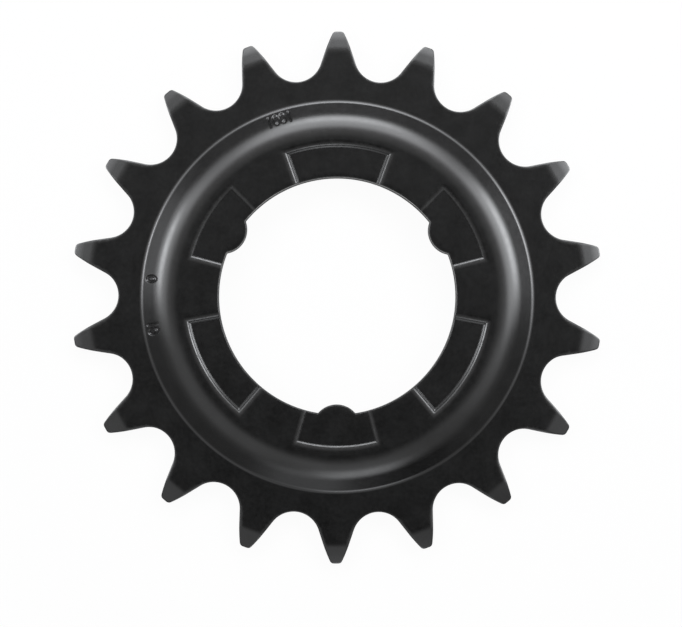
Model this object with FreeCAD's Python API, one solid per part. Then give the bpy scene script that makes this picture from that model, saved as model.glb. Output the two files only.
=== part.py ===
import FreeCAD, Part
import math
import os

# A dished bicycle sprocket for a three-lug hub driver, in millimetres and degrees.
# It lies flat on the back of its tooth ring: Z is its axis, and its raised ring faces up.

# Chain
chain_pitch = 12.7
roller_diameter = 7.75

# Teeth
tooth_count = 18
seat_clearance = 0.04
flank_radius = 27.0
tip_height = 3.24
tip_width = 1.35
tip_corner_radius = 0.5

# Side relief, a bevel with a rounded end, which thins each tooth towards its tip
relief_angle = 13.0
bevel_length = 1.4
relief_round_length = 1.4
relief_round_radius = 11.5

# Plate and dish
plate_thickness = 2.3
dish_rise = 2.25
dish_angle = 33.0
shoulder_radius = 7.1
crease_radius = 1.3

# Bore and driving lugs
bore_diameter = 35.2
lug_count = 3
lug_height = 1.5
lug_radius = 3.5
lug_root_radius = 0.3
first_lug_angle = 30.0

# Coined pockets, one over each lug and a wider, deeper one between each two lugs
lug_pocket_angle = 30.6
lug_pocket_depth = 0.35
plain_pocket_angle = 39.8
plain_pocket_depth = 0.6
pocket_length = 4.95
pocket_draft = 25.0
pocket_edge_break = 0.12
crown_rim = 1.1

# Broken edges: the rim is rolled over on its front alone, and the bore is broken on both sides
rim_edge_break = 0.2
bore_edge_break = 0.25

# Room that a cutting form leaves past the face it cuts
overrun = 1.0

# How far the normal of an upright face may rise
level_tolerance = 1e-6

# Derived sizes
tooth_step = 360 / tooth_count
pitch_radius = chain_pitch / 2 / math.sin(math.pi / tooth_count)
seat_radius = roller_diameter / 2 + seat_clearance
root_radius = pitch_radius - seat_radius
tip_radius = pitch_radius + tip_height
bore_radius = bore_diameter / 2
lug_tip_radius = bore_radius - lug_height
pocket_radius = bore_radius + pocket_length
crown_radius = pocket_radius + crown_rim
crown_top = dish_rise + plate_thickness

AXIS = FreeCAD.Vector(0, 0, 1)
CENTRE = FreeCAD.Vector(0, 0, 0)


def polar(radius, degrees):
    """Point in the XY plane."""
    angle = math.radians(degrees)
    return FreeCAD.Vector(radius * math.cos(angle), radius * math.sin(angle), 0)


def bearing(point):
    """Angle of a point about the axis."""
    return math.degrees(math.atan2(point.y, point.x))


def on_circle(centre, radius, towards):
    """Point of a circle on the side of another point."""
    direction = towards - centre
    return centre + direction * (radius / direction.Length)


def meeting(first, first_reach, second, second_reach, side):
    """Point at two distances from two centres, left (1) or right (-1) of the line between them."""
    span = (second - first).Length
    forward = (second - first) * (1 / span)
    left = AXIS.cross(forward)
    along = (first_reach**2 + span**2 - second_reach**2) / (2 * span)
    return first + forward * along + left * side * math.sqrt(first_reach**2 - along**2)


def arc(start, middle, end):
    return Part.Arc(start, middle, end).toShape()


def line(start, end):
    return Part.LineSegment(start, end).toShape()


def mirrored(points):
    """The same points on the other side of the X axis, in reverse order."""
    return [FreeCAD.Vector(p.x, -p.y, p.z) for p in reversed(points)]


def ring_of_arcs(points, count, step, first=0.0):
    """Closed wire of arcs through one run of points (start, middle, end and so on) turned round the axis."""
    edges = []
    for number in range(count):
        turn = FreeCAD.Rotation(AXIS, first + number * step)
        run = [turn.multVec(p) for p in points]
        for start, middle, end in zip(run[:-2:2], run[1:-1:2], run[2::2]):
            edges.append(arc(start, middle, end))
    return Part.Wire(edges)


def tooth_outline():
    """Rim of the plate: each tooth gap is a roller seat, two convex flanks and two rounded tip corners."""
    seat_centre = polar(pitch_radius, 0)
    sharp_tip = polar(tip_radius, tooth_step / 2 - math.degrees(tip_width / 2 / tip_radius))
    flank_centre = meeting(seat_centre, seat_radius + flank_radius, sharp_tip, flank_radius, 1)
    seat_end = on_circle(seat_centre, seat_radius, flank_centre)
    tip_reach = tip_radius - tip_corner_radius
    corner_centre = meeting(CENTRE, tip_reach, flank_centre, flank_radius - tip_corner_radius, -1)
    flank_end = on_circle(flank_centre, flank_radius, corner_centre)
    flank_middle = on_circle(flank_centre, flank_radius, (seat_end + flank_end) * 0.5)
    tip_start = on_circle(CENTRE, tip_radius, corner_centre)
    corner_middle = on_circle(corner_centre, tip_corner_radius, (flank_end + tip_start) * 0.5)
    half_gap = [seat_end, flank_middle, flank_end, corner_middle, tip_start]
    next_tip = polar(tip_radius, tooth_step - bearing(tip_start))
    tip_land = [polar(tip_radius, tooth_step / 2), next_tip]
    gap = mirrored(half_gap) + [polar(root_radius, 0)] + half_gap + tip_land
    return ring_of_arcs(gap, tooth_count, tooth_step)


def bore_outline():
    """Edge of the bore: a circle with half-round lugs standing into it, each rounded at its root."""
    lug_step = 360 / lug_count
    lug_centre = polar(lug_tip_radius + lug_radius, 0)
    root_reach = bore_radius - lug_root_radius
    root_centre = meeting(CENTRE, root_reach, lug_centre, lug_radius + lug_root_radius, -1)
    lug_end = on_circle(lug_centre, lug_radius, root_centre)
    bore_start = on_circle(CENTRE, bore_radius, root_centre)
    root_middle = on_circle(root_centre, lug_root_radius, (lug_end + bore_start) * 0.5)
    lower_side = [bore_start, root_middle, lug_end]
    upper_side = mirrored(lower_side)
    next_start = polar(bore_radius, lug_step + bearing(bore_start))
    bore_run = [polar(bore_radius, lug_step / 2), next_start]
    lug = lower_side + [polar(lug_tip_radius, 0)] + upper_side + bore_run
    return ring_of_arcs(lug, lug_count, lug_step, first_lug_angle)


def section(radius, height):
    """Point of the half section, which is turned about the axis."""
    return FreeCAD.Vector(radius, 0, height)


def round_of(centre, radius, degrees):
    """Point of a bend in the section, at an angle from straight up."""
    angle = math.radians(degrees)
    return section(centre.x + radius * math.sin(angle), centre.z + radius * math.cos(angle))


def underneath(point):
    """The same point on the back of the tooth ring."""
    return section(point.x, plate_thickness - point.z)


def dished_blank():
    """Plate turned from its half section: tooth ring with relief, crease, slope, shoulder, raised ring."""
    half_bend = math.tan(math.radians(dish_angle / 2))
    slope_run = dish_rise / math.tan(math.radians(dish_angle))
    crease = crown_radius + shoulder_radius * half_bend + slope_run
    shoulder_centre = section(crown_radius, crown_top - shoulder_radius)
    crease_centre = section(crease + crease_radius * half_bend, plate_thickness + crease_radius)
    back_shoulder = shoulder_radius - plate_thickness
    back_crease = crease_radius + plate_thickness

    bevel_end_radius = tip_radius - relief_round_length
    bevel_drop = bevel_length * math.tan(math.radians(relief_angle))
    bevel_start = section(bevel_end_radius - bevel_length, plate_thickness)
    bevel_end = section(bevel_end_radius, plate_thickness - bevel_drop)
    round_centre = round_of(bevel_end, -relief_round_radius, relief_angle)
    tip_slope = math.degrees(math.asin((tip_radius - round_centre.x) / relief_round_radius))
    round_middle = round_of(round_centre, relief_round_radius, (relief_angle + tip_slope) / 2)
    round_end = round_of(round_centre, relief_round_radius, tip_slope)
    rim_top = section(tip_radius + overrun, round_end.z)

    middle_top = section(lug_tip_radius - overrun, crown_top)
    middle_back = section(lug_tip_radius - overrun, dish_rise)
    crown_edge = section(crown_radius, crown_top)
    shoulder_end = round_of(shoulder_centre, shoulder_radius, dish_angle)
    crease_start = round_of(crease_centre, -crease_radius, dish_angle)
    crease_end = section(crease_centre.x, plate_thickness)
    back_crease_start = section(crease_centre.x, 0)
    back_crease_end = round_of(crease_centre, -back_crease, dish_angle)
    back_shoulder_start = round_of(shoulder_centre, back_shoulder, dish_angle)
    back_crown_edge = section(crown_radius, dish_rise)
    edges = [
        line(middle_back, middle_top),
        line(middle_top, crown_edge),
        arc(crown_edge, round_of(shoulder_centre, shoulder_radius, dish_angle / 2), shoulder_end),
        line(shoulder_end, crease_start),
        arc(crease_start, round_of(crease_centre, -crease_radius, dish_angle / 2), crease_end),
        line(crease_end, bevel_start),
        line(bevel_start, bevel_end),
        arc(bevel_end, round_middle, round_end),
        line(round_end, rim_top),
        line(rim_top, underneath(rim_top)),
        line(underneath(rim_top), underneath(round_end)),
        arc(underneath(round_end), underneath(round_middle), underneath(bevel_end)),
        line(underneath(bevel_end), underneath(bevel_start)),
        line(underneath(bevel_start), back_crease_start),
        arc(back_crease_start, round_of(crease_centre, -back_crease, dish_angle / 2), back_crease_end),
        line(back_crease_end, back_shoulder_start),
        arc(back_shoulder_start, round_of(shoulder_centre, back_shoulder, dish_angle / 2), back_crown_edge),
        line(back_crown_edge, middle_back),
    ]
    return Part.Face(Part.Wire(edges)).revolve(CENTRE, AXIS, 360)


def pierced_plate():
    """The dished blank cut to the tooth outline outside and to the lugged bore inside."""
    outline = Part.Face(tooth_outline()).cut(Part.Face(bore_outline()))
    outline.translate(AXIS * -overrun)
    return dished_blank().common(outline.extrude(AXIS * (crown_top + 2 * overrun)))


def pocket_wire(angle, grown, height):
    """Sector outline of a pocket about the X axis, with its walls moved out by one distance."""
    radius = pocket_radius + grown
    side = polar(1, angle / 2)
    out = polar(grown, angle / 2 + 90)
    outer = side * math.sqrt(radius**2 - grown**2) + out
    inner = side * (lug_tip_radius - overrun) + out
    lower_inner, lower_outer = mirrored([outer, inner])
    wire = Part.Wire(
        [
            arc(lower_outer, FreeCAD.Vector(radius, 0, 0), outer),
            line(outer, inner),
            line(inner, lower_inner),
            line(lower_inner, lower_outer),
        ]
    )
    wire.translate(AXIS * height)
    return wire


def pocket_form(angle, depth):
    """Punch that coins one pocket: a drafted wall with a broken upper edge."""
    wall = depth - pocket_edge_break
    narrowing = wall * math.tan(math.radians(pocket_draft))
    sections = [
        pocket_wire(angle, -narrowing, crown_top - depth),
        pocket_wire(angle, 0, crown_top - pocket_edge_break),
        pocket_wire(angle, pocket_edge_break + overrun, crown_top + overrun),
    ]
    return Part.makeLoft(sections, True, True)


def pocket_forms():
    """All the punches round the axis, one over each lug and one between each two."""
    lug_step = 360 / lug_count
    forms = []
    for number in range(lug_count):
        over_lug = pocket_form(lug_pocket_angle, lug_pocket_depth)
        over_lug.rotate(CENTRE, AXIS, first_lug_angle + number * lug_step)
        plain = pocket_form(plain_pocket_angle, plain_pocket_depth)
        plain.rotate(CENTRE, AXIS, first_lug_angle + (number + 0.5) * lug_step)
        forms += [over_lug, plain]
    return forms


def upright(face):
    """Whether a face stands parallel to the axis."""
    first_u, last_u, first_v, last_v = face.ParameterRange
    normal = face.normalAt((first_u + last_u) / 2, (first_v + last_v) / 2)
    return abs(normal.z) < level_tolerance


def outline_edges(solid, nearest, furthest):
    """Edges between an upright face and a top or bottom face, within a range of distances from the axis."""
    edges = []
    for edge in solid.Edges:
        sides = [upright(face) for face in solid.ancestorsOfType(edge, Part.Face)]
        start = edge.valueAt(edge.FirstParameter)
        if sides.count(True) == 1 and nearest < math.hypot(start.x, start.y) < furthest:
            edges.append(edge)
    return edges


def sprocket():
    coined = pierced_plate().cut(pocket_forms()).Solids[0]
    between = (bore_radius + root_radius) / 2
    rim_edges = outline_edges(coined, between, tip_radius + overrun)
    front_edges = [edge for edge in rim_edges if edge.CenterOfMass.z > plate_thickness / 2]
    broken_rim = coined.makeChamfer(rim_edge_break, front_edges).Solids[0]
    bore_edges = outline_edges(broken_rim, 0, between)
    return broken_rim.makeChamfer(bore_edge_break, bore_edges).Solids[0]


os.makedirs("parts", exist_ok=True)
sprocket().exportStep("parts/sprocket.step")
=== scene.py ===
import math

import bpy
import numpy as np
from mathutils import Matrix, Vector


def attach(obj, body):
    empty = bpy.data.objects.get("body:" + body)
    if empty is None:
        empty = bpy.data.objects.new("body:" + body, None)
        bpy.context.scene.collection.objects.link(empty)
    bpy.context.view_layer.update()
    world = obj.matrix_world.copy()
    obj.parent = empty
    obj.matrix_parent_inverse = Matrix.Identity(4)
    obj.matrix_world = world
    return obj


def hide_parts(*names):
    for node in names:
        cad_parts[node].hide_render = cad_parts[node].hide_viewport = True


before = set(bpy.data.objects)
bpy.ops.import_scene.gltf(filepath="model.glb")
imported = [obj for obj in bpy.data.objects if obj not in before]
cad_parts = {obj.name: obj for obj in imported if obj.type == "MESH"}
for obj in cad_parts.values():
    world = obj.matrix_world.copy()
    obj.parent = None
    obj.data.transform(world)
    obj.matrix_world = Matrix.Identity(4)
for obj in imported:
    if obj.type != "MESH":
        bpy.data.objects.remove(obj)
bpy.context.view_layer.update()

MM = 0.001

# Teeth, in millimetres and degrees
TOOTH_COUNT = 18
TOOTH_STEP = 360 / TOOTH_COUNT
CHAIN_PITCH = 12.7
PITCH_RADIUS = CHAIN_PITCH / 2 / math.sin(math.pi / TOOTH_COUNT)
SEAT_RADIUS = 3.915
FLANK_RADIUS = 200.0
FLANK_END_RADIUS = 37.1
FLANK_END_WIDTH = 3.75
TIP_HEIGHT = 3.23
TIP_RADIUS = PITCH_RADIUS + TIP_HEIGHT
TIP_WIDTH = 1.46
TIP_CORNER_RADIUS = 0.6
RELIEF_ANGLE = 10.5
BEVEL_LENGTH = 1.4
RELIEF_ROUND_LENGTH = 1.4
RELIEF_ROUND_RADIUS = 15.0

# Plate and dish
THICKNESS = 2.3
DISH_RISE = 2.25
DISH_ANGLE = 33.0
SHOULDER_RADIUS = 7.1
CREASE_RADIUS = 1.2
CROWN_TOP = DISH_RISE + THICKNESS
CROWN_RADIUS = 23.65

# Bore, lugs and pockets
BORE_RADIUS = 17.74
LUG_TIP_RADIUS = 16.24
LUG_RADIUS = 3.5
LUG_ROOT_RADIUS = 0.3
FIRST_LUG_ANGLE = 30.0
POCKET_COUNT = 6
POCKET_STEP = 360 / POCKET_COUNT
POCKET_RADIUS = 22.44
LUG_POCKET_HALF = 15.2
LUG_POCKET_DEPTH = 0.3
PLAIN_POCKET_HALF = 19.75
PLAIN_POCKET_DEPTH = 0.5

# Rolled front edge of the rim: its width in the gaps, what the flanks add and the tips take off, the radii
# between which they do so, its depth as a share of the width, and the angles of its rows
ROLL_WIDTH = 0.3
FLANK_ROLL = 0.3
FLANK_ROLL_RADII = (33.2, 35.5)
TIP_ROLL = 0.4
TIP_ROLL_RADII = (36.5, 38.5)
ROLL_SHARE = 0.22
ROLL_STEPS = (15, 30, 45, 60, 72, 80, 86, 90)

# Other edges, and the zones of the bore's wall
RELIEF_SOFTNESS = 0.42
BACK_EDGE = 0.08
BORE_EDGE = 0.13
BORE_EDGE_TILT = 40.0
BORE_EDGE_ROUND = 0.1
BORE_CORNER = 0.01
BORE_SHEAR = 0.8
BORE_TAPER = 0.12
BORE_BACK_EDGE = 0.2

# Pocket walls: a soft lip, two bevels with a step between them, a steep foot and a flat strip beside it. The
# values of the bevels are the upper and lower width, their tilt and the tilt of the step.
POCKET_LIP_RADIUS = 2.5
POCKET_LIP_TILT = 14.0
POCKET_ROUND = 0.3
LUG_POCKET_BEVEL = (0.07, 0.08, 26.0, 28.0)
PLAIN_POCKET_BEVEL = (0.15, 0.2, 29.5, 62.0)
BEVEL_STEP_RADIUS = 0.13
POCKET_CORNER = 0.05
POCKET_WALL_TILT = 80.0
POCKET_APRON = 0.05

# Stamped marks, bars (1) and rings (0), by the angle of their middle, with edges in shares of the stroke
MARK_RADIUS = 27.85
MARK_HEIGHT = 1.3
MARK_RING_HALF = MARK_HEIGHT / 3
MARK_STROKE = 0.17
MARK_EDGE = (0.2, 1.3)
MARK_DEPTH = 0.18
MARK_PITCH = 1.05
MARKS = {108.4: "1001", 175.0: "0", 190.0: "01"}

# Mesh: the rows of a tooth lie along the gap, up the flank, across the start of the relief, up to the tip and
# round its corner, and the rows of the dish on the shoulder, the slope and the crease
TOOTH_COLUMNS = 18
RIM_COLUMNS = TOOTH_COUNT * TOOTH_COLUMNS
TOOTH_ROWS = (15, 7, 5, 8, 4)
GAP_ROWS_RADIUS = 35.0
BEVEL_ROW = 0.6
ARC_SAMPLES = 400
CORNER_SAMPLES = 100
FLOOR_COLUMNS = 26
FLOOR_ROWS = 6
LAND_COLUMNS = 5
FRONT_ROWS = (26, 16, 10)
BACK_ROWS = (9, 3, 7)
FLAT_ROWS = 2
BACK_EDGE_ROWS = 5
BORE_EDGE_ROWS = 5
BORE_BACK_ROWS = 7
LUG_ROWS = 9
LUG_ROOT_ROWS = 4
ROUND_ROWS = 4
BAR_POINTS = 40
RING_POINTS = 60
MARK_GRID = 0.07
BEYOND_WALLS = 9.0

# Coat: tone, gloss, the sizes of its noises in millimetres, the ranges that are used of them, and wear
COAT_IOR = 1.8
COAT_DARK = 0.0015
COAT_LIGHT = 0.007
WORN_TONE = 0.018
COAT_ROUGHNESS = (0.2, 0.24)
CUT_ROUGHNESS = 0.8
WORN_DULLNESS = 0.3
MOTTLE_SIZE = 3.0
MOTTLE_DETAIL = 4
MOTTLE_RANGE = (0.3, 0.7)
STREAK_SIZE = 0.6
STREAK_DETAIL = 3
GLOSS_RANGE = (0.3, 0.7)
PATCH_RANGE = (0.45, 0.65)
GRAIN_SIZE = 0.12
GRAIN_DETAIL = 2
GRAIN_HEIGHT = 0.0006
BORE_WEAR = 0.08
POCKET_WEAR = 0.35
POCKET_WEAR_RATE = 1.3
RIM_WEAR = 0.15

# Floor: tone, the share of it that glows, and half its width in metres
FLOOR_TONE = 0.9
FLOOR_GLOW = 0.95
FLOOR_REACH = 3.0

# Camera: distance, tilts of the line of sight, roll, scale at the tooth ring, lens, and where it aims
CAMERA_DISTANCE = 500.0
CAMERA_SIDE_TILT = -0.44
CAMERA_TILT = -2.98
CAMERA_ROLL = 0.28
PIXELS_PER_MM = 6.70
IMAGE_WIDTH = 682
SENSOR_WIDTH = 36.0
CLIP_START = 0.01
CLIP_END = 10.0
AIM = (0.57, -2.55, THICKNESS)

# Lamps: azimuth, the angles off the axis of the inner and outer ends, spread and radiance. A lamp fades from
# its shoulder to its edge, which are shares of its width away from its middle.
LAMP_DISTANCE = 300.0
LAMP_COLOUR = (0.98, 1.0, 1.03)
LAMP_MIDDLE = 0.5
LAMP_EDGE = 0.5
LAMP_SHOULDER = 0.2
LAMPS = {
    "key_right": (22, 47, 63.5, 39, 4.9),
    "wide_right": (19, 28, 72, 58, 2.5),
    "key_top": (88, 48, 66, 46, 3.4),
    "wide_top": (88, 31, 64, 72, 2.5),
    "key_left": (162.5, 46, 60, 34, 5.9),
    "wide_left": (161, 28, 76, 54, 1.5),
    "fill_right": (50, 30, 68, 50, 0.9),
    "fill_left": (125, 30, 64, 50, 0.95),
    "low_left": (260, 48, 74, 36, 0.5),
    "low": (279, 41, 64, 36, 1.6),
    "front": (277, 23, 48, 44, 0.3),
    "fill_low": (225, 14, 52, 80, 0.2),
    "fill_side": (342, 20, 54, 44, 0.3),
}

# Ceiling: radiance by the angle off the camera's line of sight, and its growth from the middle to the back
CEILING_RAMP = (
    (0, 0.0),
    (6, 0.01),
    (12, 0.2),
    (18, 0.35),
    (42, 0.42),
    (53, 0.28),
    (66, 0.22),
    (74, 0.12),
    (90, 0.1),
)
CEILING_GROWTH = 1.5

# Dim patch of the ceiling: azimuth, angle off the axis, where its edge starts and ends, and the light left
GAP_AZIMUTH = 292.0
GAP_TILT = 70.0
GAP_EDGE = (6.0, 20.0)
GAP_LEFT = 0.15


def unit(degrees):
    """Direction in plan at an angle from the X axis."""
    return np.array([math.cos(math.radians(degrees)), math.sin(math.radians(degrees))])


def meeting(first, first_reach, second, second_reach, side):
    """Point at two distances from two centres, on the left (1) or right (-1) of the line between them."""
    span = np.linalg.norm(second - first)
    forward = (second - first) / span
    left = np.array([-forward[1], forward[0]])
    along = (first_reach**2 + span**2 - second_reach**2) / (2 * span)
    return first + forward * along + left * side * math.sqrt(first_reach**2 - along**2)


def bearing(vector):
    """Angle of a direction in plan from the X axis."""
    return math.degrees(math.atan2(vector[1], vector[0]))


def spin(degrees):
    """Turn about the axis, for rows of plan points."""
    turn = math.radians(degrees)
    return np.array([[math.cos(turn), math.sin(turn)], [-math.sin(turn), math.cos(turn)]])


def arc_points(centre, radius, start, end, count, outward):
    """Points of an arc with their normals, which point out of the metal."""
    rows = []
    for degrees in np.linspace(start, end, count):
        rows.append(np.concatenate([centre + radius * unit(degrees), outward * unit(degrees)]))
    return rows


def smooth(value, low, high):
    """Step from 0 to 1 with soft ends."""
    share = np.clip((value - low) / (high - low), 0, 1)
    return share * share * (3 - 2 * share)


def tooth_side(radius, width):
    """Point on the near side of the first tooth, at a radius where the tooth has some width."""
    return radius * unit(TOOTH_STEP / 2 - math.degrees(width / 2 / radius))


def half_gap():
    """Outline from the bottom of a tooth gap on the X axis to the start of the next tip, densely sampled."""
    seat = PITCH_RADIUS * unit(0)
    flank_top = tooth_side(FLANK_END_RADIUS, FLANK_END_WIDTH)
    flank = meeting(seat, SEAT_RADIUS + FLANK_RADIUS, flank_top, FLANK_RADIUS, 1)
    inward = (flank - flank_top) / FLANK_RADIUS
    chord = tooth_side(TIP_RADIUS, TIP_WIDTH) - flank_top
    nose_radius = chord @ chord / (2 * (chord @ inward))
    nose = flank_top + inward * nose_radius
    corner_reach = TIP_RADIUS - TIP_CORNER_RADIUS
    corner = meeting(np.zeros(2), corner_reach, nose, nose_radius - TIP_CORNER_RADIUS, -1)
    seat_end = bearing(flank - seat)
    flank_end = bearing(flank_top - flank)
    nose_end = bearing(corner - nose)
    tip_start = bearing(corner)
    rows = arc_points(seat, SEAT_RADIUS, 180, seat_end, ARC_SAMPLES, -1)
    rows += arc_points(flank, FLANK_RADIUS, seat_end - 180, flank_end, ARC_SAMPLES, 1)[1:]
    rows += arc_points(nose, nose_radius, flank_end, nose_end, ARC_SAMPLES, 1)[1:]
    rows += arc_points(corner, TIP_CORNER_RADIUS, nose_end, tip_start, CORNER_SAMPLES, 1)[1:]
    return np.array(rows)


def relief(radius):
    """How far the side of a tooth lies below the plate's face."""
    radius = np.asarray(radius, float)
    end = TIP_RADIUS - RELIEF_ROUND_LENGTH
    start = end - BEVEL_LENGTH
    slope = math.radians(RELIEF_ANGLE)
    entry = np.clip(radius - start + RELIEF_SOFTNESS, 0, 2 * RELIEF_SOFTNESS) ** 2 / (4 * RELIEF_SOFTNESS)
    straight = np.clip(radius - start - RELIEF_SOFTNESS, 0, BEVEL_LENGTH - RELIEF_SOFTNESS)
    bevel = (entry + straight) * math.tan(slope)
    reach = RELIEF_ROUND_RADIUS * math.sin(slope) + np.maximum(radius - end, 0)
    rounded = RELIEF_ROUND_RADIUS * math.cos(slope) - np.sqrt(RELIEF_ROUND_RADIUS**2 - reach**2)
    return bevel + rounded


class Builder:
    """Vertices and faces of one closed mesh."""

    def __init__(self):
        self.points = []
        self.faces = []
        self.wear = []
        self.cut = []

    def ring(self, plan, heights, wear=0.0, cut=0.0):
        """Add a row of points and give their numbers."""
        first = len(self.points)
        self.points += [(p[0], p[1], z) for p, z in zip(plan, heights)]
        self.wear += list(np.broadcast_to(wear, len(plan)))
        self.cut += [cut] * len(plan)
        return list(range(first, len(self.points)))

    def strip(self, first, second, closed=True, flip=False):
        """Quads between two rows of the same length."""
        count = len(first) if closed else len(first) - 1
        for k in range(count):
            n = (k + 1) % len(first)
            quad = (first[k], first[n], second[n], second[k])
            corners = list(dict.fromkeys(quad))
            if len(corners) > 2:
                self.faces.append(tuple(reversed(corners)) if flip else tuple(corners))

    def zip(self, inner, outer, flip=False):
        """Triangles between two closed rings about the axis with different counts, both anticlockwise."""

        def turns(ring):
            angles = [math.atan2(self.points[k][1], self.points[k][0]) for k in ring]
            first = int(np.argmin(np.abs(np.array(angles))))
            ordered = ring[first:] + ring[:first]
            values = np.unwrap(np.array(angles[first:] + angles[:first]))
            return ordered + ordered[:1], np.append(values, values[0] + 2 * math.pi)

        inner, inner_turn = turns(inner)
        outer, outer_turn = turns(outer)
        i = 0
        j = 0
        while i < len(inner) - 1 or j < len(outer) - 1:
            outer_done = j == len(outer) - 1
            if outer_done or (i < len(inner) - 1 and inner_turn[i + 1] <= outer_turn[j + 1]):
                face = (inner[i], outer[j], inner[i + 1])
                i += 1
            else:
                face = (inner[i], outer[j], outer[j + 1])
                j += 1
            self.faces.append(tuple(reversed(face)) if flip else face)


def circle(radius, degrees):
    """Plan points on a circle at some angles."""
    turn = np.radians(degrees)
    return np.stack([radius * np.cos(turn), radius * np.sin(turn)], axis=1)


def even_turns():
    """Angles of the columns that go all round the part."""
    return np.arange(RIM_COLUMNS) * TOOTH_STEP / TOOTH_COLUMNS


def bend_rows(radius, height, bend_radius, tilts):
    """Rows of a bend, placed by the point where it is level; a negative bend radius makes it hollow."""
    side = np.sin(np.radians(tilts))
    fall = 1 - np.cos(np.radians(tilts))
    return np.stack([radius + bend_radius * side, height - bend_radius * fall, tilts], axis=1)


def dish_rows(shoulder, slope, crease):
    """Section of the dish's front, from the crown's edge to the tooth ring: radius, height and tilt."""
    half_bend = math.tan(math.radians(DISH_ANGLE / 2))
    run = DISH_RISE / math.tan(math.radians(DISH_ANGLE))
    foot = CROWN_RADIUS + (SHOULDER_RADIUS + CREASE_RADIUS) * half_bend + run
    shoulder_rows = bend_rows(CROWN_RADIUS, CROWN_TOP, SHOULDER_RADIUS, np.linspace(0, DISH_ANGLE, shoulder))
    crease_rows = bend_rows(foot, THICKNESS, -CREASE_RADIUS, np.linspace(DISH_ANGLE, 0, crease))
    slope_rows = np.linspace(shoulder_rows[-1], crease_rows[0], slope + 1)[1:-1]
    flat = np.linspace(foot, PITCH_RADIUS - SEAT_RADIUS, FLAT_ROWS + 2)[1:-1]
    flat_rows = np.stack([flat, np.full(FLAT_ROWS, THICKNESS), np.zeros(FLAT_ROWS)], axis=1)
    return np.concatenate([shoulder_rows, slope_rows, crease_rows, flat_rows])


def mark_strokes(text):
    """Points along the bars and rings of one mark, as distances along and across the ring."""
    points = []
    start = -MARK_PITCH * (len(text) - 1) / 2
    for place, sign in enumerate(text):
        middle = start + MARK_PITCH * place
        if sign == "1":
            across = np.linspace(-MARK_HEIGHT / 2, MARK_HEIGHT / 2, BAR_POINTS)
            along = np.full(BAR_POINTS, middle)
        else:
            turn = np.linspace(0, 2 * math.pi, RING_POINTS)
            across = MARK_HEIGHT / 2 * np.sin(turn)
            along = middle + MARK_RING_HALF * np.cos(turn)
        points.append(np.stack([along, across], axis=1))
    return np.concatenate(points)


def mark_reach(text):
    """Half the angle that a mark takes up."""
    return math.degrees((MARK_PITCH * (len(text) - 1) / 2 + MARK_HEIGHT) / MARK_RADIUS)


def mark_depth(radius, turns):
    """How deep the stamped marks are at some angles on one circle."""
    depth = np.zeros(len(turns))
    inner, outer = np.array(MARK_EDGE) * MARK_STROKE
    for middle, text in MARKS.items():
        near = np.abs(turns - middle) < mark_reach(text)
        along = np.radians(turns[near] - middle) * radius
        here = np.stack([-along, np.full(len(along), radius - MARK_RADIUS)], axis=1)
        gap = np.linalg.norm(here[:, None] - mark_strokes(text)[None], axis=2).min(axis=1)
        depth[near] = MARK_DEPTH * (1 - smooth(gap, inner, outer))
    return depth


def dish_turns():
    """Angles of the columns of the dish's front, close together at the marks."""
    turns = even_turns()
    for middle, text in MARKS.items():
        reach = mark_reach(text)
        count = round(2 * math.radians(reach) * MARK_RADIUS / MARK_GRID)
        fine = np.linspace(middle - reach, middle + reach, count)
        turns = np.concatenate([turns[np.abs(turns - middle) > reach], fine])
    return np.sort(turns)


def rim_rows():
    """Points up a tooth's side, from the gap's bottom to the tip's start, with normals and edge widths."""
    gap_rows, flank_rows, entry_rows, tip_rows, corner_rows = TOOTH_ROWS
    dense = half_gap()
    reach = np.hypot(dense[:, 0], dense[:, 1])
    flank_roll = FLANK_ROLL * smooth(reach, *FLANK_ROLL_RADII)
    width = ROLL_WIDTH + flank_roll - TIP_ROLL * smooth(reach, *TIP_ROLL_RADII)
    inset = dense[:, :2] - dense[:, 2:] * width[:, None]
    inset_reach = np.hypot(inset[:, 0], inset[:, 1])
    start = TIP_RADIUS - RELIEF_ROUND_LENGTH - BEVEL_LENGTH
    wanted = list(np.linspace(GAP_ROWS_RADIUS, start - RELIEF_SOFTNESS, flank_rows)[1:])
    wanted += list(np.linspace(start - RELIEF_SOFTNESS, start + RELIEF_SOFTNESS, entry_rows)[1:])
    wanted += [start + BEVEL_ROW, start + BEVEL_LENGTH]
    wanted += list(np.linspace(start + BEVEL_LENGTH, inset_reach[-1], tip_rows)[1:-1])
    picks = list(np.linspace(0, np.searchsorted(inset_reach, GAP_ROWS_RADIUS), gap_rows).astype(int))
    picks += [int(np.searchsorted(inset_reach, radius)) for radius in wanted]
    picks += list(np.linspace(picks[-1], len(dense) - 1, corner_rows).astype(int))[1:]
    return dense[picks], width[picks]


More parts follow.
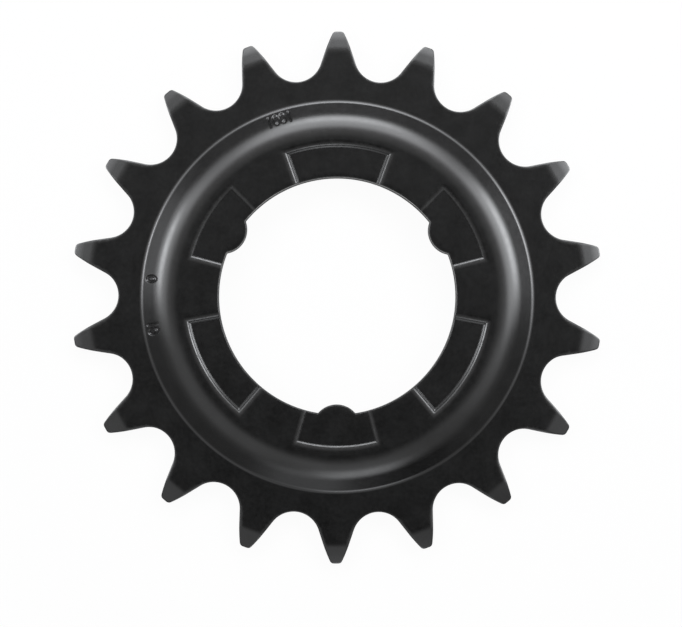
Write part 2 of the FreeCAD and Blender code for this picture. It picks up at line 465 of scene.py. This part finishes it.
def tooth_sides(builder, rows, insets, face_height, flip):
    """Faces of all teeth on one side: rows across each tooth from the gap's bottom up to the tip."""
    shares = np.linspace(-1, 1, TOOTH_COLUMNS + 1)
    plan = rows[:, :2] - rows[:, 2:] * insets[:, None]
    reach = np.hypot(plan[:, 0], plan[:, 1])
    half = TOOTH_STEP / 2 - np.degrees(np.arctan2(plan[:, 1], plan[:, 0]))
    half[0] = TOOTH_STEP / 2
    root = builder.ring(circle(reach[0], even_turns()), [face_height(reach[0])] * RIM_COLUMNS)
    loop = []
    for tooth in range(TOOTH_COUNT):
        middle = (tooth + 0.5) * TOOTH_STEP
        first = tooth * TOOTH_COLUMNS
        below = [root[(first + k) % RIM_COLUMNS] for k in range(TOOTH_COLUMNS + 1)]
        right = [below[0]]
        left = [below[-1]]
        for radius, half_turn in zip(reach[1:], half[1:]):
            height = float(face_height(radius))
            row = builder.ring(circle(radius, middle + half_turn * shares), [height] * len(shares))
            builder.strip(below, row, closed=False, flip=not flip)
            right.append(row[0])
            left.append(row[-1])
            below = row
        loop += right + below[1:-1] + left[:0:-1]
    return root, loop


def rim_loop(rows, widths):
    """The whole outline, in the order of the loops that tooth_sides gives."""
    tip_turn = np.degrees(np.arctan2(rows[-1, 1], rows[-1, 0]))
    shares = np.linspace(-1, 1, TOOTH_COLUMNS + 1)[1:-1]
    plan = []
    normals = []
    edge = []
    for tooth in range(TOOTH_COUNT):
        turn = spin(tooth * TOOTH_STEP)
        up = rows[:, :2] @ turn
        up_normals = rows[:, 2:] @ turn
        middle = (tooth + 0.5) * TOOTH_STEP
        axis = unit(middle)
        tip = circle(TIP_RADIUS, middle + (TOOTH_STEP / 2 - tip_turn) * shares)
        mirror = 2 * np.outer(axis, axis) - np.eye(2)
        plan += [up, tip, (up @ mirror)[:0:-1]]
        normals += [up_normals, tip / TIP_RADIUS, (up_normals @ mirror)[:0:-1]]
        edge += [widths, np.full(len(tip), widths[-1]), widths[:0:-1]]
    return np.concatenate(plan), np.concatenate(normals), np.concatenate(edge)


def turned(radius, start, end):
    """Steps across and down along an arc that turns from one tilt to another."""
    turn = np.radians(np.linspace(start, end, ROUND_ROWS))
    return np.stack([np.diff(np.sin(turn)), -np.diff(np.cos(turn))], axis=1) * radius


def pocket_profile(depth, upper_width, lower_width, bevel_tilt, step_tilt):
    """Wall of a pocket from the crown to its floor: distance outward from the step, and depth."""
    lip = turned(POCKET_LIP_RADIUS, 0, POCKET_LIP_TILT)
    upper = turned(POCKET_ROUND, POCKET_LIP_TILT, bevel_tilt)
    bevel = np.array([[1, math.tan(math.radians(bevel_tilt))]])
    step = turned(BEVEL_STEP_RADIUS, bevel_tilt, step_tilt)
    corner = turned(POCKET_CORNER, bevel_tilt, POCKET_WALL_TILT)
    foot = turned(POCKET_CORNER, 0, POCKET_WALL_TILT)[::-1]
    above = np.concatenate([lip, upper, bevel * upper_width, step])
    below = np.concatenate([step[::-1], bevel * lower_width, corner])
    drop = depth - sum(steps[:, 1].sum() for steps in (above, below, foot))
    wall = np.array([[drop / math.tan(math.radians(POCKET_WALL_TILT)), drop]])
    apron = np.array([[POCKET_APRON, 0]])
    rows = np.cumsum(np.concatenate([np.zeros((1, 2)), above, below, wall, foot, apron]), axis=0)
    return np.stack([above[:, 0].sum() - rows[:, 0], rows[:, 1]], axis=1)


def lug_half():
    """Edge of a lug on the X axis, from its tip to the plain bore, with normals out of the metal."""
    lug = (LUG_TIP_RADIUS + LUG_RADIUS) * unit(0)
    root = meeting(np.zeros(2), BORE_RADIUS - LUG_ROOT_RADIUS, lug, LUG_RADIUS + LUG_ROOT_RADIUS, 1)
    lug_end = bearing(root - lug)
    rows = arc_points(lug, LUG_RADIUS, 180, lug_end, LUG_ROWS, 1)
    rows += arc_points(root, LUG_ROOT_RADIUS, lug_end - 180, bearing(root), LUG_ROOT_ROWS, -1)[1:]
    return np.array(rows)


def bore_edge_profile():
    """Broken front edge of the bore, from the face to the wall: distance from the wall, and depth."""
    turn = np.radians(np.linspace(0, BORE_EDGE_TILT, BORE_EDGE_ROWS))
    inset = BORE_EDGE - BORE_EDGE_ROUND * np.sin(turn)
    drop = BORE_EDGE_ROUND * (1 - np.cos(turn))
    slope = math.tan(math.radians(BORE_EDGE_TILT))
    rows = list(zip(inset, drop))[1:]
    rows.append((BORE_CORNER, drop[-1] + (inset[-1] - BORE_CORNER) * slope))
    for length in (BORE_CORNER, BORE_SHEAR, BORE_CORNER):
        rows.append((0.0, rows[-1][1] + length))
    return rows


def bore_edge(turns):
    """Plain bore at some angles, with normals out of the metal."""
    plan = circle(1, turns)
    return np.concatenate([plan * BORE_RADIUS, -plan], axis=1)


def sector(number):
    """One pocket and half the land on each side: rows of plan points and depths, from the bore outward."""
    lugged = number % 2 == 0
    if lugged:
        profile = pocket_profile(LUG_POCKET_DEPTH, *LUG_POCKET_BEVEL)
    else:
        profile = pocket_profile(PLAIN_POCKET_DEPTH, *PLAIN_POCKET_BEVEL)
    grown = profile[:, 0]
    half = LUG_POCKET_HALF if lugged else PLAIN_POCKET_HALF
    bore_inset = BORE_RADIUS + BORE_EDGE

    def wall_turn(radius):
        return half + np.degrees(np.arcsin(grown / radius))

    wall_in = wall_turn(bore_inset)
    land_in = np.linspace(POCKET_STEP / 2, wall_in[0], LAND_COLUMNS + 1)[:-1]
    floor_in = np.linspace(-wall_in[-1], wall_in[-1], FLOOR_COLUMNS + 1)[1:-1]
    floor_edge = bore_edge(floor_in)
    if lugged:
        side = lug_half()
        room = np.linspace(wall_in[-1], bearing(side[-1]), FLOOR_COLUMNS // 2 - len(side) + 2)[1:-1]
        upper = np.concatenate([side[1:], bore_edge(room[::-1])])
        lower = upper[::-1] * np.array([1, -1, 1, -1])
        floor_edge = np.concatenate([lower, side[:1], upper])
    side_in = np.concatenate([land_in, wall_in])
    edge = np.concatenate([bore_edge(-side_in), floor_edge, bore_edge(side_in[::-1])])
    inset = edge[:, :2] - edge[:, 2:] * BORE_EDGE

    land_grown = np.full(LAND_COLUMNS, BEYOND_WALLS)
    floor_grown = np.full(len(floor_edge), -BEYOND_WALLS)
    column_grown = np.concatenate([land_grown, grown, floor_grown, grown[::-1], land_grown])

    def depth_of(outward):
        return np.interp(-outward, -grown, profile[:, 1])

    rows = [inset]
    depths = [depth_of(column_grown)]
    foot = POCKET_RADIUS + grown[-1]
    out_rows = [*(POCKET_RADIUS + grown[::-1]), (POCKET_RADIUS + grown[0] + CROWN_RADIUS) / 2]
    out_grown = [*grown[::-1], BEYOND_WALLS]

    def outer_row(radius):
        walls = wall_turn(radius)
        lands = np.linspace(POCKET_STEP / 2, walls[0], LAND_COLUMNS + 1)[:-1]
        floor = np.linspace(-walls[-1], walls[-1], len(floor_edge) + 2)[1:-1]
        sides = np.concatenate([lands, walls])
        return circle(radius, np.concatenate([-sides, floor, sides[::-1]]))

    end = outer_row(foot)
    off_floor = column_grown > -BEYOND_WALLS
    for k in range(1, FLOOR_ROWS):
        share = k / FLOOR_ROWS
        row = inset + (end - inset) * share
        radius = bore_inset + (foot - bore_inset) * share
        row[off_floor] = outer_row(radius)[off_floor]
        rows.append(row)
        depths.append(depth_of(column_grown))
    for radius, outward in zip(out_rows, out_grown):
        rows.append(outer_row(radius))
        depths.append(depth_of(np.maximum(column_grown, outward)))
    return rows, depths, edge


def crown(builder):
    """Pocketed face of the raised ring; gives its outer ring, its inner ring and the bore's edge there."""
    grids = []
    edges = []
    for number in range(POCKET_COUNT):
        rows, depths, edge = sector(number)
        turn = spin(FIRST_LUG_ANGLE + POCKET_STEP * number)
        # Wear is strongest above the middle of a pocket's wall and ends before its foot
        shares = [depth[:-1] / max(map(max, depths)) for depth in depths]
        wear = [POCKET_WEAR * np.sin(math.pi * np.minimum(POCKET_WEAR_RATE * sunk, 1)) for sunk in shares]
        grids.append(([row[:-1] @ turn for row in rows], [depth[:-1] for depth in depths], wear))
        edges.append(np.concatenate([edge[:-1, :2] @ turn, edge[:-1, 2:] @ turn], axis=1))
    rings = []
    for k in range(len(grids[0][0])):
        plan = np.concatenate([rows[k] for rows, _, _ in grids])
        heights = CROWN_TOP - np.concatenate([depths[k] for _, depths, _ in grids])
        rings.append(builder.ring(plan, heights, np.concatenate([wear[k] for _, _, wear in grids])))
    for inner, outer in zip(rings[:-1], rings[1:]):
        builder.strip(inner, outer, flip=True)
    return rings[-1], rings[0], np.concatenate(edges)


def top(radius):
    """Height of the front of the tooth ring."""
    return THICKNESS - relief(radius)


def dish_front(builder, crown_rim):
    """Dish with its stamped marks; gives the ring at its end."""
    turns = dish_turns()
    rings = []
    for radius, height, tilt in dish_rows(*FRONT_ROWS):
        sunk = mark_depth(radius, turns)
        side, up = unit(90 - tilt)
        plan = circle(1, turns) * (radius - sunk * side)[:, None]
        rings.append(builder.ring(plan, height - sunk * up))
    builder.zip(crown_rim, rings[0])
    for inner, outer in zip(rings[:-1], rings[1:]):
        builder.strip(inner, outer, flip=True)
    return rings[-1]


def back(builder, rows):
    """Back of the plate with its teeth; gives its inner ring and its outline."""
    rings = []
    for radius, height, tilt in dish_rows(*BACK_ROWS):
        side, up = unit(90 - tilt) * THICKNESS
        rings.append(builder.ring(circle(radius - side, even_turns()), [height - up] * RIM_COLUMNS))
    root, loop = tooth_sides(builder, rows, np.full(len(rows), BACK_EDGE), relief, True)
    for inner, outer in zip(rings, rings[1:] + [root]):
        builder.strip(inner, outer)
    return rings[0], loop


def rim(builder, rows, widths, front_loop, back_loop):
    """Rolled front edge, wall and rounded back edge of the teeth."""
    plan, normals, edge = rim_loop(rows, widths)
    last = front_loop
    for degrees in ROLL_STEPS:
        roll = math.radians(degrees)
        at = plan - normals * (edge * (1 - math.sin(roll)))[:, None]
        drop = ROLL_SHARE * edge * (1 - math.cos(roll))
        height = top(np.hypot(at[:, 0], at[:, 1])) - drop
        ring = builder.ring(at, height, RIM_WEAR, float(degrees == 90))
        builder.strip(last, ring, flip=True)
        last = ring
    for degrees in np.linspace(90, 0, BACK_EDGE_ROWS)[:-1]:
        roll = math.radians(degrees)
        at = plan - normals * BACK_EDGE * (1 - math.sin(roll))
        height = relief(np.hypot(at[:, 0], at[:, 1])) + BACK_EDGE * (1 - math.cos(roll))
        ring = builder.ring(at, height, RIM_WEAR, float(degrees == 90))
        builder.strip(last, ring, flip=True)
        last = ring
    builder.strip(last, back_loop, flip=True)


def bore(builder, front_ring, outline, back_ring):
    """Broken front edge, wall and broken back edge of the bore, and the flat round it at the back."""
    last = front_ring
    heights = np.array([builder.points[k][2] for k in front_ring])
    plan = outline[:, :2]
    normals = outline[:, 2:]
    edge_rows = bore_edge_profile()
    for inset, drop in edge_rows:
        cut = float(drop == edge_rows[-1][1])
        ring = builder.ring(plan - normals * inset, heights - drop, BORE_WEAR, cut)
        builder.strip(last, ring)
        last = ring
    for degrees in np.linspace(90, 0, BORE_BACK_ROWS):
        roll = math.radians(degrees)
        at = plan + normals * (BORE_TAPER - BORE_BACK_EDGE * (1 - math.sin(roll)))
        height = np.full(len(plan), DISH_RISE + BORE_BACK_EDGE * (1 - math.cos(roll)))
        ring = builder.ring(at, height, BORE_WEAR, float(degrees == 90))
        builder.strip(last, ring)
        last = ring
    angles = np.degrees(np.arctan2(plan[:, 1], plan[:, 0]))
    ring = builder.ring(circle(POCKET_RADIUS, angles), np.full(len(plan), DISH_RISE))
    builder.strip(last, ring)
    builder.zip(ring, back_ring, flip=True)


def sprocket_mesh():
    """The whole part as one closed mesh, with its wear and its cut walls as attributes."""
    builder = Builder()
    rows, widths = rim_rows()
    crown_rim, bore_front, bore_outline = crown(builder)
    dish_end = dish_front(builder, crown_rim)
    root, front_loop = tooth_sides(builder, rows, widths, top, False)
    builder.zip(dish_end, root)
    back_ring, back_loop = back(builder, rows)
    rim(builder, rows, widths, front_loop, back_loop)
    bore(builder, bore_front, bore_outline, back_ring)

    mesh = bpy.data.meshes.new("sprocket_dressed")
    mesh.from_pydata([(x * MM, y * MM, z * MM) for x, y, z in builder.points], [], builder.faces)
    for name, values in (("wear", builder.wear), ("cut", builder.cut)):
        attribute = mesh.attributes.new(name, "FLOAT", "POINT")
        attribute.data.foreach_set("value", np.array(values, dtype=np.float32))
    mesh.validate()
    mesh.shade_smooth()
    return mesh


def noise_node(tree, size, detail):
    """Noise with features of about one size in millimetres, fixed to the part."""
    place = tree.nodes.new("ShaderNodeTexCoord")
    noise = tree.nodes.new("ShaderNodeTexNoise")
    noise.inputs["Scale"].default_value = 1 / (size * MM)
    noise.inputs["Detail"].default_value = detail
    tree.links.new(place.outputs["Object"], noise.inputs["Vector"])
    return noise.outputs["Fac"]


def attribute_node(tree, name):
    """Value that the mesh holds at each point."""
    node = tree.nodes.new("ShaderNodeAttribute")
    node.attribute_name = name
    return node.outputs["Fac"]


def math_node(tree, operation, *sources):
    """Result of one operation on sockets and numbers."""
    node = tree.nodes.new("ShaderNodeMath")
    node.operation = operation
    for socket, source in zip(node.inputs, sources):
        if isinstance(source, bpy.types.NodeSocket):
            tree.links.new(source, socket)
        else:
            socket.default_value = source
    return node.outputs[0]


def range_node(tree, source, from_range, to_range, interpolation="LINEAR"):
    """Map of one range of values to another."""
    node = tree.nodes.new("ShaderNodeMapRange")
    node.interpolation_type = interpolation
    node.inputs["From Min"].default_value, node.inputs["From Max"].default_value = from_range
    node.inputs["To Min"].default_value, node.inputs["To Max"].default_value = to_range
    tree.links.new(source, node.inputs["Value"])
    return node.outputs[0]


def black_steel():
    """Satin black coat: mottled tone, uneven gloss, fine grain, and wear on the edges."""
    material = bpy.data.materials.new("black_steel")
    material.use_nodes = True
    tree = material.node_tree
    link = tree.links.new
    shader = tree.nodes["Principled BSDF"]
    shader.inputs["IOR"].default_value = COAT_IOR

    mottle = noise_node(tree, MOTTLE_SIZE, MOTTLE_DETAIL)
    streak = noise_node(tree, STREAK_SIZE, STREAK_DETAIL)
    tone = range_node(tree, mottle, MOTTLE_RANGE, (COAT_DARK, COAT_LIGHT))
    patches = range_node(tree, streak, PATCH_RANGE, (0.0, 1.0))
    worn = math_node(tree, "MULTIPLY", attribute_node(tree, "wear"), patches)
    blend = tree.nodes.new("ShaderNodeMix")
    blend.inputs["B"].default_value = WORN_TONE
    link(worn, blend.inputs["Factor"])
    link(tone, blend.inputs["A"])
    link(blend.outputs["Result"], shader.inputs["Base Color"])

    gloss = range_node(tree, streak, GLOSS_RANGE, COAT_ROUGHNESS)
    duller = math_node(tree, "MULTIPLY_ADD", worn, WORN_DULLNESS, gloss)
    rough_wall = range_node(tree, attribute_node(tree, "cut"), (0.0, 1.0), (0.0, CUT_ROUGHNESS))
    link(math_node(tree, "MAXIMUM", duller, rough_wall), shader.inputs["Roughness"])

    bump = tree.nodes.new("ShaderNodeBump")
    bump.inputs["Distance"].default_value = GRAIN_HEIGHT * MM
    link(noise_node(tree, GRAIN_SIZE, GRAIN_DETAIL), bump.inputs["Height"])
    link(bump.outputs["Normal"], shader.inputs["Normal"])
    return material


def white_floor():
    """Matt white that glows evenly for the camera and for what mirrors it."""
    material = bpy.data.materials.new("white_floor")
    material.use_nodes = True
    tree = material.node_tree
    tree.nodes.clear()
    link = tree.links.new
    diffuse = tree.nodes.new("ShaderNodeBsdfDiffuse")
    diffuse.inputs["Color"].default_value = (FLOOR_TONE, FLOOR_TONE, FLOOR_TONE, 1)
    glow = tree.nodes.new("ShaderNodeEmission")
    path = tree.nodes.new("ShaderNodeLightPath")
    seen = math_node(tree, "MAXIMUM", path.outputs["Is Camera Ray"], path.outputs["Is Glossy Ray"])
    seen_through = math_node(tree, "MAXIMUM", seen, path.outputs["Is Transmission Ray"])
    mix = tree.nodes.new("ShaderNodeMixShader")
    output = tree.nodes.new("ShaderNodeOutputMaterial")
    link(math_node(tree, "MULTIPLY", seen_through, FLOOR_GLOW), mix.inputs[0])
    link(diffuse.outputs[0], mix.inputs[1])
    link(glow.outputs[0], mix.inputs[2])
    link(mix.outputs[0], output.inputs["Surface"])
    return material


def ramp_node(tree, stops):
    """Ramp of grey levels at some positions from 0 to 1."""
    ramp = tree.nodes.new("ShaderNodeValToRGB")
    elements = ramp.color_ramp.elements
    while len(elements) < len(stops):
        elements.new(1.0)
    for element, (position, level) in zip(elements, stops):
        element.position = position
        element.color = (level, level, level, 1)
    return ramp


def dot_node(tree, source, vector):
    """Cosine of the angle between a direction and a fixed one."""
    node = tree.nodes.new("ShaderNodeVectorMath")
    node.operation = "DOT_PRODUCT"
    node.inputs[1].default_value = vector
    tree.links.new(source, node.inputs[0])
    return node.outputs["Value"]


def add(name, data):
    """New object in the scene."""
    thing = bpy.data.objects.new(name, data)
    bpy.context.collection.objects.link(thing)
    return thing


def direction(azimuth, tilt):
    """Direction from the part, at some angle off the axis."""
    side = unit(azimuth) * math.sin(math.radians(tilt))
    return Vector((side[0], side[1], math.cos(math.radians(tilt))))


def lamp_nodes(lamp):
    """A lamp that fades softly towards all four sides."""
    lamp.use_nodes = True
    tree = lamp.node_tree
    geometry = tree.nodes.new("ShaderNodeNewGeometry")
    split = tree.nodes.new("ShaderNodeSeparateXYZ")
    tree.links.new(geometry.outputs["Parametric"], split.inputs[0])
    fades = []
    for axis in "XY":
        centred = math_node(tree, "SUBTRACT", split.outputs[axis], LAMP_MIDDLE)
        off_centre = math_node(tree, "ABSOLUTE", centred)
        fades.append(range_node(tree, off_centre, (LAMP_EDGE, LAMP_SHOULDER), (0.0, 1.0), "SMOOTHSTEP"))
    tree.links.new(math_node(tree, "MULTIPLY", *fades), tree.nodes["Emission"].inputs["Strength"])


def softbox(name, azimuth, inner, outer, spread, radiance):
    """Rectangular lamp that faces the part, between two angles off the axis, with its peak as radiance."""
    middle = (inner + outer) / 2
    height = 2 * LAMP_DISTANCE * math.tan(math.radians(outer - inner) / 2)
    width = 2 * LAMP_DISTANCE * math.sin(math.radians(middle)) * math.tan(math.radians(spread) / 2)
    lamp = bpy.data.lights.new(name, "AREA")
    lamp.shape = "RECTANGLE"
    lamp.size = width * MM
    lamp.size_y = height * MM
    lamp.energy = radiance * math.pi * lamp.size * lamp.size_y
    lamp.color = LAMP_COLOUR
    lamp_nodes(lamp)
    thing = add(name, lamp)
    thing.location = direction(azimuth, middle) * LAMP_DISTANCE * MM
    thing.rotation_euler = thing.location.to_track_quat("Z", "Y").to_euler()
    thing.visible_camera = False


def line_of_sight():
    """Direction from the part to the camera."""
    side_slope = math.tan(math.radians(CAMERA_SIDE_TILT))
    back_slope = math.tan(math.radians(CAMERA_TILT))
    return Vector((side_slope, back_slope, 1)).normalized()


def ceiling():
    """World: a ring of light overhead, dark round the camera and in one patch, stronger towards the back."""
    world = bpy.data.worlds.new("ceiling")
    world.use_nodes = True
    tree = world.node_tree
    link = tree.links.new
    background = tree.nodes["Background"]
    towards = tree.nodes.new("ShaderNodeTexCoord").outputs["Generated"]

    widest = CEILING_RAMP[-1][0]
    off_sight = math_node(tree, "ARCCOSINE", dot_node(tree, towards, line_of_sight()))
    ramp = ramp_node(tree, [(degrees / widest, radiance) for degrees, radiance in CEILING_RAMP])
    link(range_node(tree, off_sight, (0.0, math.radians(widest)), (0.0, 1.0)), ramp.inputs[0])
    link(ramp.outputs["Color"], background.inputs["Color"])

    split = tree.nodes.new("ShaderNodeSeparateXYZ")
    link(towards, split.inputs[0])
    growth = math_node(tree, "POWER", CEILING_GROWTH, split.outputs["Y"])
    off_gap = dot_node(tree, towards, direction(GAP_AZIMUTH, GAP_TILT))
    gap = range_node(tree, off_gap, np.cos(np.radians(GAP_EDGE)), (GAP_LEFT, 1.0), "SMOOTHSTEP")
    link(math_node(tree, "MULTIPLY", growth, gap), background.inputs["Strength"])
    return world


def floor_mesh():
    """White square that the part lies on."""
    mesh = bpy.data.meshes.new("floor")
    signs = ((-1, -1), (1, -1), (1, 1), (-1, 1))
    mesh.from_pydata([(x * FLOOR_REACH, y * FLOOR_REACH, 0) for x, y in signs], [], [(0, 1, 2, 3)])
    mesh.materials.append(white_floor())
    return mesh


def place_camera():
    """Camera far above the part, which looks almost straight down at the aim."""
    data = bpy.data.cameras.new("camera")
    data.sensor_width = SENSOR_WIDTH
    data.lens = SENSOR_WIDTH * PIXELS_PER_MM * CAMERA_DISTANCE / IMAGE_WIDTH
    data.clip_start = CLIP_START
    data.clip_end = CLIP_END
    location = (Vector((0, 0, THICKNESS)) + line_of_sight() * CAMERA_DISTANCE) * MM
    back_axis = (location - Vector(AIM) * MM).normalized()
    level = unit(CAMERA_ROLL)
    up_axis = back_axis.cross(Vector((level[0], level[1], 0))).normalized()
    right_axis = up_axis.cross(back_axis)
    turn = Matrix((right_axis, up_axis, back_axis)).transposed().to_4x4()
    camera = add("camera", data)
    camera.matrix_world = Matrix.Translation(location) @ turn
    bpy.context.scene.camera = camera


part = add("sprocket_dressed", sprocket_mesh())
part.data.materials.append(black_steel())
part.modifiers.new("even normals", "WEIGHTED_NORMAL").keep_sharp = True
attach(part, "root")
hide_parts("sprocket")

floor = add("floor", floor_mesh())

for name, lamp in LAMPS.items():
    softbox(name, *lamp)
bpy.context.scene.world = ceiling()
place_camera()

bpy.context.scene.view_settings.view_transform = "Standard"
